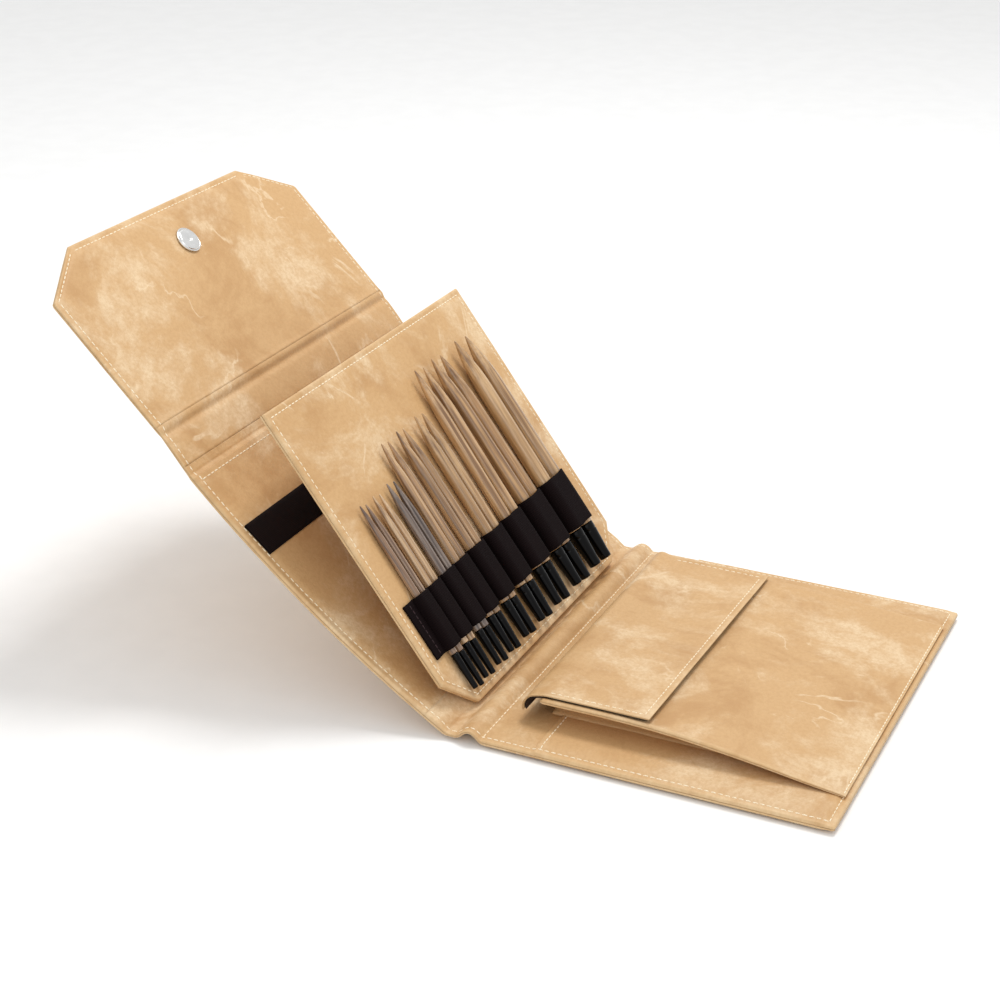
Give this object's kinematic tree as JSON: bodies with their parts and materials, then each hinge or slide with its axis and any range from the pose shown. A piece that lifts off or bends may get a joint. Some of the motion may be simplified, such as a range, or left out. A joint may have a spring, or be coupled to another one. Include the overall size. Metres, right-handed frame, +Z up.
{
  "type": "interchangeable knitting needle set",
  "caption": "Folding faux-leather case with a hinged page of wooden needle tips held in an elastic band, a gusseted pocket and a snap flap.",
  "frame": {"origin": "middle of the case's footprint, at the height of the face it rests on", "axes": "+X along the hinge lines, +Y from the front leaf's free end towards the closing flap, +Z up"},
  "size_m": [0.205, 0.3716, 0.1806],
  "materials": {
    "faux_leather": "mottled tan faux leather, fine grain",
    "dark_lining": "dark woven lining",
    "elastic": "aubergine woven elastic",
    "board": "grey card",
    "nickel": "satin nickel",
    "black_metal": "glossy black",
    "wood_1": "oiled driftwood-stained birch",
    "wood_2": "oiled driftwood-stained birch",
    "wood_3": "oiled driftwood-stained birch",
    "wood_4": "oiled driftwood-stained birch",
    "wood_5": "oiled driftwood-stained birch",
    "wood_6": "oiled driftwood-stained birch",
    "wood_7": "oiled driftwood-stained birch",
    "wood_8": "oiled driftwood-stained birch",
    "wood_9": "oiled driftwood-stained birch"
  },
  "bodies": {
    "case_front": {"front_cover": "faux_leather", "front_board": "board", "front_lining": "faux_leather", "snap_socket": "nickel", "pocket_gusset_near": "faux_leather", "pocket_gusset_far": "faux_leather"},
    "pocket": {"pocket_sheet": "faux_leather"},
    "pocket_cover": {"pocket_flap": "faux_leather", "pocket_flap_lining": "dark_lining"},
    "spine": {"spine_cover": "faux_leather", "spine_lining": "faux_leather"},
    "back": {"back_cover": "faux_leather", "back_board": "board", "back_lining": "faux_leather", "back_strip": "elastic"},
    "page": {"page_cover": "faux_leather", "page_board": "board", "page_face": "faux_leather", "needle_band": "elastic"},
    "top_strip": {"top_spine": "faux_leather"},
    "flap": {"flap_cover": "faux_leather", "flap_board": "board", "flap_lining": "faux_leather", "snap_cap": "nickel"},
    "needle_1a": {"tip_1a": "wood_1", "ferrule_1a": "black_metal"},
    "needle_1b": {"tip_1b": "wood_1", "ferrule_1b": "black_metal"},
    "needle_2a": {"tip_2a": "wood_2", "ferrule_2a": "black_metal"},
    "needle_2b": {"tip_2b": "wood_2", "ferrule_2b": "black_metal"},
    "needle_3a": {"tip_3a": "wood_3", "ferrule_3a": "black_metal"},
    "needle_3b": {"tip_3b": "wood_3", "ferrule_3b": "black_metal"},
    "needle_4a": {"tip_4a": "wood_4", "ferrule_4a": "black_metal"},
    "needle_4b": {"tip_4b": "wood_4", "ferrule_4b": "black_metal"},
    "needle_5a": {"tip_5a": "wood_5", "ferrule_5a": "black_metal"},
    "needle_5b": {"tip_5b": "wood_5", "ferrule_5b": "black_metal"},
    "needle_6a": {"tip_6a": "wood_6", "ferrule_6a": "black_metal"},
    "needle_6b": {"tip_6b": "wood_6", "ferrule_6b": "black_metal"},
    "needle_7a": {"tip_7a": "wood_7", "ferrule_7a": "black_metal"},
    "needle_7b": {"tip_7b": "wood_7", "ferrule_7b": "black_metal"},
    "needle_8a": {"tip_8a": "wood_8", "ferrule_8a": "black_metal"},
    "needle_8b": {"tip_8b": "wood_8", "ferrule_8b": "black_metal"},
    "needle_9a": {"tip_9a": "wood_9", "ferrule_9a": "black_metal"},
    "needle_9b": {"tip_9b": "wood_9", "ferrule_9b": "black_metal"}
  },
  "joints": [
    {"name": "spine_hinge", "type": "hinge", "parent": "case_front", "child": "spine", "pos_m": [0, -0.03146, 0.002], "axis": [1, 0, 0], "range_deg": [-14, 64]},
    {"name": "leaf_hinge", "type": "hinge", "parent": "spine", "child": "back", "pos_m": [0, -0.01576, 0.002], "axis": [1, 0, 0], "range_deg": [-14, 16]},
    {"name": "page_hinge", "type": "hinge", "parent": "back", "child": "page", "pos_m": [0, -0.01946, 0.0041], "axis": [-1, 0, 0], "range_deg": [-68, 7]},
    {"name": "top_spine_hinge", "type": "hinge", "parent": "back", "child": "top_strip", "pos_m": [0, 0.10589, 0.09773], "axis": [-1, 0, 0], "range_deg": [-80, 30]},
    {"name": "flap_crease", "type": "hinge", "parent": "top_strip", "child": "flap", "pos_m": [0, 0.11873, 0.11358], "axis": [-1, 0, 0], "range_deg": [-100, 30]},
    {"name": "pocket_mouth", "type": "hinge", "parent": "case_front", "child": "pocket", "pos_m": [0, -0.18376, 0.0051], "axis": [-1, 0, 0], "range_deg": [-5, 1.8], "deforming": ["pocket_gusset_near", "pocket_gusset_far"]},
    {"name": "pocket_flap_hinge", "type": "hinge", "parent": "pocket", "child": "pocket_cover", "pos_m": [0, -0.04626, 0.0106], "axis": [1, 0, 0], "range_deg": [-90, 0]},
    {"name": "slide_1a", "type": "slide", "parent": "page", "child": "needle_1a", "axis": [-0.0218, -0.6072, -0.7942], "range_m": [-0.05, 0]},
    {"name": "slide_1b", "type": "slide", "parent": "page", "child": "needle_1b", "axis": [-0.0131, -0.6073, -0.7943], "range_m": [-0.05, 0]},
    {"name": "slide_2a", "type": "slide", "parent": "page", "child": "needle_2a", "axis": [-0.0305, -0.6071, -0.794], "range_m": [-0.05, 0]},
    {"name": "slide_2b", "type": "slide", "parent": "page", "child": "needle_2b", "axis": [-0.0218, -0.6072, -0.7942], "range_m": [-0.05, 0]},
    {"name": "slide_3a", "type": "slide", "parent": "page", "child": "needle_3a", "axis": [-0.0358, -0.607, -0.7939], "range_m": [-0.05, 0]},
    {"name": "slide_3b", "type": "slide", "parent": "page", "child": "needle_3b", "axis": [-0.0271, -0.6072, -0.7941], "range_m": [-0.05, 0]},
    {"name": "slide_4a", "type": "slide", "parent": "page", "child": "needle_4a", "axis": [-0.0305, -0.6071, -0.794], "range_m": [-0.05, 0]},
    {"name": "slide_4b", "type": "slide", "parent": "page", "child": "needle_4b", "axis": [-0.0218, -0.6072, -0.7942], "range_m": [-0.05, 0]},
    {"name": "slide_5a", "type": "slide", "parent": "page", "child": "needle_5a", "axis": [-0.0183, -0.6073, -0.7943], "range_m": [-0.05, 0]},
    {"name": "slide_5b", "type": "slide", "parent": "page", "child": "needle_5b", "axis": [-0.0096, -0.6073, -0.7944], "range_m": [-0.05, 0]},
    {"name": "slide_6a", "type": "slide", "parent": "page", "child": "needle_6a", "axis": [-0.0305, -0.6071, -0.794], "range_m": [-0.05, 0]},
    {"name": "slide_6b", "type": "slide", "parent": "page", "child": "needle_6b", "axis": [-0.0218, -0.6072, -0.7942], "range_m": [-0.05, 0]},
    {"name": "slide_7a", "type": "slide", "parent": "page", "child": "needle_7a", "axis": [-0.0427, -0.6068, -0.7937], "range_m": [-0.05, 0]},
    {"name": "slide_7b", "type": "slide", "parent": "page", "child": "needle_7b", "axis": [-0.034, -0.607, -0.794], "range_m": [-0.05, 0]},
    {"name": "slide_8a", "type": "slide", "parent": "page", "child": "needle_8a", "axis": [0.0026, -0.6074, -0.7944], "range_m": [-0.05, 0]},
    {"name": "slide_8b", "type": "slide", "parent": "page", "child": "needle_8b", "axis": [0.0113, -0.6073, -0.7944], "range_m": [-0.05, 0]},
    {"name": "slide_9a", "type": "slide", "parent": "page", "child": "needle_9a", "axis": [-0.0218, -0.6072, -0.7942], "range_m": [-0.05, 0]},
    {"name": "slide_9b", "type": "slide", "parent": "page", "child": "needle_9b", "axis": [-0.0131, -0.6073, -0.7943], "range_m": [-0.05, 0]}
  ]
}
